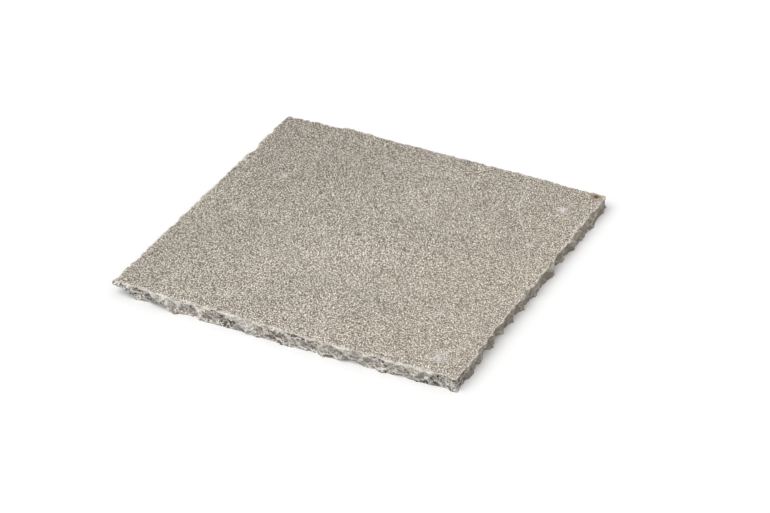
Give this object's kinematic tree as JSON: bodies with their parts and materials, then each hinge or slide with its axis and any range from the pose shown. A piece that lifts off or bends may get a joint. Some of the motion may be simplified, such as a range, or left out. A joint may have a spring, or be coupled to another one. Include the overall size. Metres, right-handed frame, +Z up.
{
  "type": "limestone paver",
  "caption": "Square limestone paver with a riven top face and hand-dressed edges: one slab of stone that lies flat.",
  "frame": {"origin": "centre of the paver's box on the plane of the bed face, which is what it rests on", "axes": "+Z up, out of the riven top face; +X along the slightly longer side; +Y along the other side"},
  "size_m": [0.6224, 0.6116, 0.025],
  "materials": {
    "limestone": "matt grey-brown limestone, riven on top with a fine pale grain, bruised white along the dressed edges"
  },
  "bodies": {
    "root": {"limestone_paver": "limestone"}
  },
  "joints": []
}
